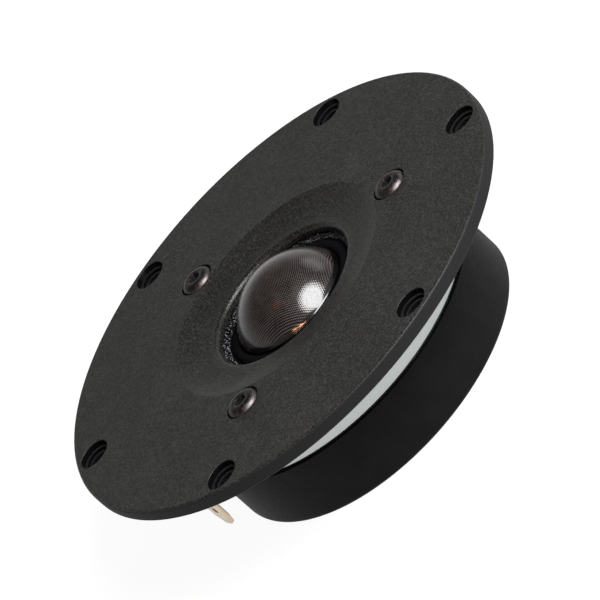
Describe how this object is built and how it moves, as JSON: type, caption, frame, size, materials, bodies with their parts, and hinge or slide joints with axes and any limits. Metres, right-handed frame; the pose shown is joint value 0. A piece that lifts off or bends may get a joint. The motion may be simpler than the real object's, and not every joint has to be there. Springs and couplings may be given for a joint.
{
  "type": "flange-mount soft-dome tweeter",
  "caption": "Round flange-mount soft-dome tweeter with a flared recess, a woven dome, a covered ring-magnet motor and rear solder lugs.",
  "frame": {"origin": "centre of the fixing-hole circle, in the plane of the flange's rear mounting face", "axes": "+Z out of the front along the dome's axis; the lugs lie on the Y axis, positive on +Y; one screw lies on +X"},
  "size_m": [0.11, 0.11, 0.0344],
  "materials": {
    "faceplate_black": "fine textured matt charcoal-black coating",
    "screw_steel": "black-oxide steel, satin",
    "gasket_foam": "matt closed-cell foam",
    "ring_plastic": "grained moulded plastic",
    "frame_plastic": "satin moulded plastic",
    "lug_gold": "pale gold plating",
    "rivet_brass": "plain brass",
    "lead_copper": "braided tinsel lead",
    "dome_cloth": "fine weave under a glossy damping coat",
    "surround_cloth": "coated cloth, semi-gloss",
    "former_foil": "bare foil",
    "coil_wire": "enamelled copper wire",
    "zinc_plate": "bright zinc plate",
    "ferrite": "ground ferrite, matt",
    "pole_steel": "turned steel",
    "cap_copper": "drawn copper",
    "damper_felt": "grey felt",
    "wadding_felt": "natural wool felt",
    "cover_black": "leather-grained black moulding, semi-matt",
    "adhesive_foam": "double-sided adhesive disc"
  },
  "bodies": {
    "chassis": {"faceplate": "faceplate_black", "faceplate_screws": "screw_steel", "front_gasket": "gasket_foam", "diaphragm_ring": "ring_plastic", "diaphragm_frame": "frame_plastic", "terminal_positive": "lug_gold", "terminal_negative": "lug_gold", "terminal_rivets": "rivet_brass", "lead_positive": "lead_copper", "lead_negative": "lead_copper", "surround": "surround_cloth", "top_plate": "zinc_plate", "magnet": "ferrite", "back_plate": "zinc_plate", "pole_piece": "pole_steel", "copper_cap": "cap_copper", "dome_damper": "damper_felt", "vent_wadding": "wadding_felt", "magnet_cover": "cover_black", "cover_adhesive": "adhesive_foam"},
    "diaphragm": {"dome": "dome_cloth", "voice_coil_former": "former_foil", "voice_coil": "coil_wire"}
  },
  "joints": [
    {"name": "dome_travel", "type": "slide", "parent": "chassis", "child": "diaphragm", "axis": [0, 0, 1], "range_m": [-0.0007, 0.0007], "stiffness_N_per_m": 8000}
  ]
}
